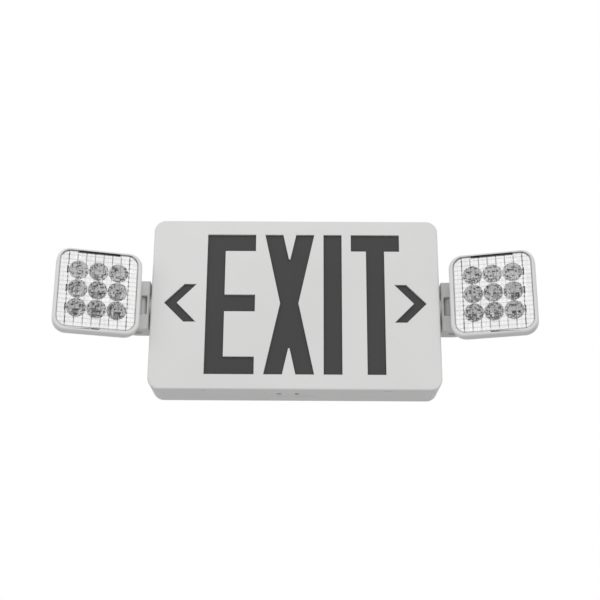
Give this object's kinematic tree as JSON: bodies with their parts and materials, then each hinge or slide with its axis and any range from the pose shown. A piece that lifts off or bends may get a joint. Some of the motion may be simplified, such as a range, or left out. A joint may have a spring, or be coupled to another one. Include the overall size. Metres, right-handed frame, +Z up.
{
  "type": "emergency exit light",
  "caption": "Wall-mounted emergency exit light: white housing with a stencil cover over a dark legend panel, side arrows, and two swivelling square lamp heads.",
  "frame": {"origin": "middle of the housing's flat back, on the axis of the supply entry, in the plane of the wall", "axes": "+X to the reader's right, +Y into the wall, +Z up; the cover faces -Y"},
  "size_m": [0.49, 0.0928, 0.184],
  "materials": {
    "housing_white": "fine satin moulding grain",
    "cover_white": "fine satin moulding grain",
    "head_white": "fine satin moulding grain",
    "arm_white": "satin moulded",
    "legend_panel": "dark satin translucent panel, unlit",
    "tray_white": "gloss white",
    "circuit_board": "solder-masked board",
    "lamp_chip": "small lamp package",
    "transformer_core": "varnished laminations",
    "terminal_plastic": "moulded",
    "can_metal": "sleeved can",
    "cell_wrap": "heat-shrink wrap",
    "zinc_steel": "zinc plated",
    "button_dark": "moulded",
    "indicator_lens": "tinted lens, unlit",
    "nylon": "natural nylon",
    "lens_clear": "clear prismatic moulding",
    "reflector_bright": "vacuum-metallised"
  },
  "bodies": {
    "housing": {"back_plate": "housing_white", "back_housing": "housing_white", "front_cover": "cover_white", "legend_diffuser": "legend_panel", "light_tray": "tray_white", "upper_lamp_strip": "circuit_board", "lower_lamp_strip": "circuit_board", "control_board": "circuit_board", "transformer": "transformer_core", "terminal_block": "terminal_plastic", "capacitor": "can_metal", "battery_pack": "cell_wrap", "battery_strap": "zinc_steel", "test_board": "circuit_board", "test_spring": "zinc_steel", "status_lamp": "indicator_lens", "left_bushing": "nylon", "right_bushing": "nylon"},
    "test_button": {"test_button": "button_dark"},
    "left_arm": {"left_arm": "arm_white", "left_spring_washer": "zinc_steel", "left_arm_nut": "zinc_steel", "left_pivot_pin": "zinc_steel"},
    "left_head": {"left_head_shell": "head_white", "left_lamp_board": "circuit_board", "left_lamps": "lamp_chip", "left_reflector": "reflector_bright", "left_lens": "lens_clear"},
    "right_arm": {"right_arm": "arm_white", "right_spring_washer": "zinc_steel", "right_arm_nut": "zinc_steel", "right_pivot_pin": "zinc_steel"},
    "right_head": {"right_head_shell": "head_white", "right_lamp_board": "circuit_board", "right_lamps": "lamp_chip", "right_reflector": "reflector_bright", "right_lens": "lens_clear"}
  },
  "joints": [
    {"name": "test_press", "type": "slide", "parent": "housing", "child": "test_button", "axis": [0, 0, 1], "range_m": [0, 0.0015], "stiffness_N_per_m": 600, "springref_m": -0.0008, "deforming": ["test_spring"]},
    {"name": "left_tilt", "type": "hinge", "parent": "housing", "child": "left_arm", "pos_m": [-0.16535, -0.0298, 0], "axis": [1, 0, 0], "range_deg": [-60, 60]},
    {"name": "left_swing", "type": "hinge", "parent": "left_arm", "child": "left_head", "pos_m": [-0.16535, -0.0298, 0], "axis": [0, 0, 1], "range_deg": [-38, 9]},
    {"name": "right_tilt", "type": "hinge", "parent": "housing", "child": "right_arm", "pos_m": [0.16535, -0.0298, 0], "axis": [1, 0, 0], "range_deg": [-60, 60]},
    {"name": "right_swing", "type": "hinge", "parent": "right_arm", "child": "right_head", "pos_m": [0.16535, -0.0298, 0], "axis": [0, 0, 1], "range_deg": [-9, 38]}
  ]
}
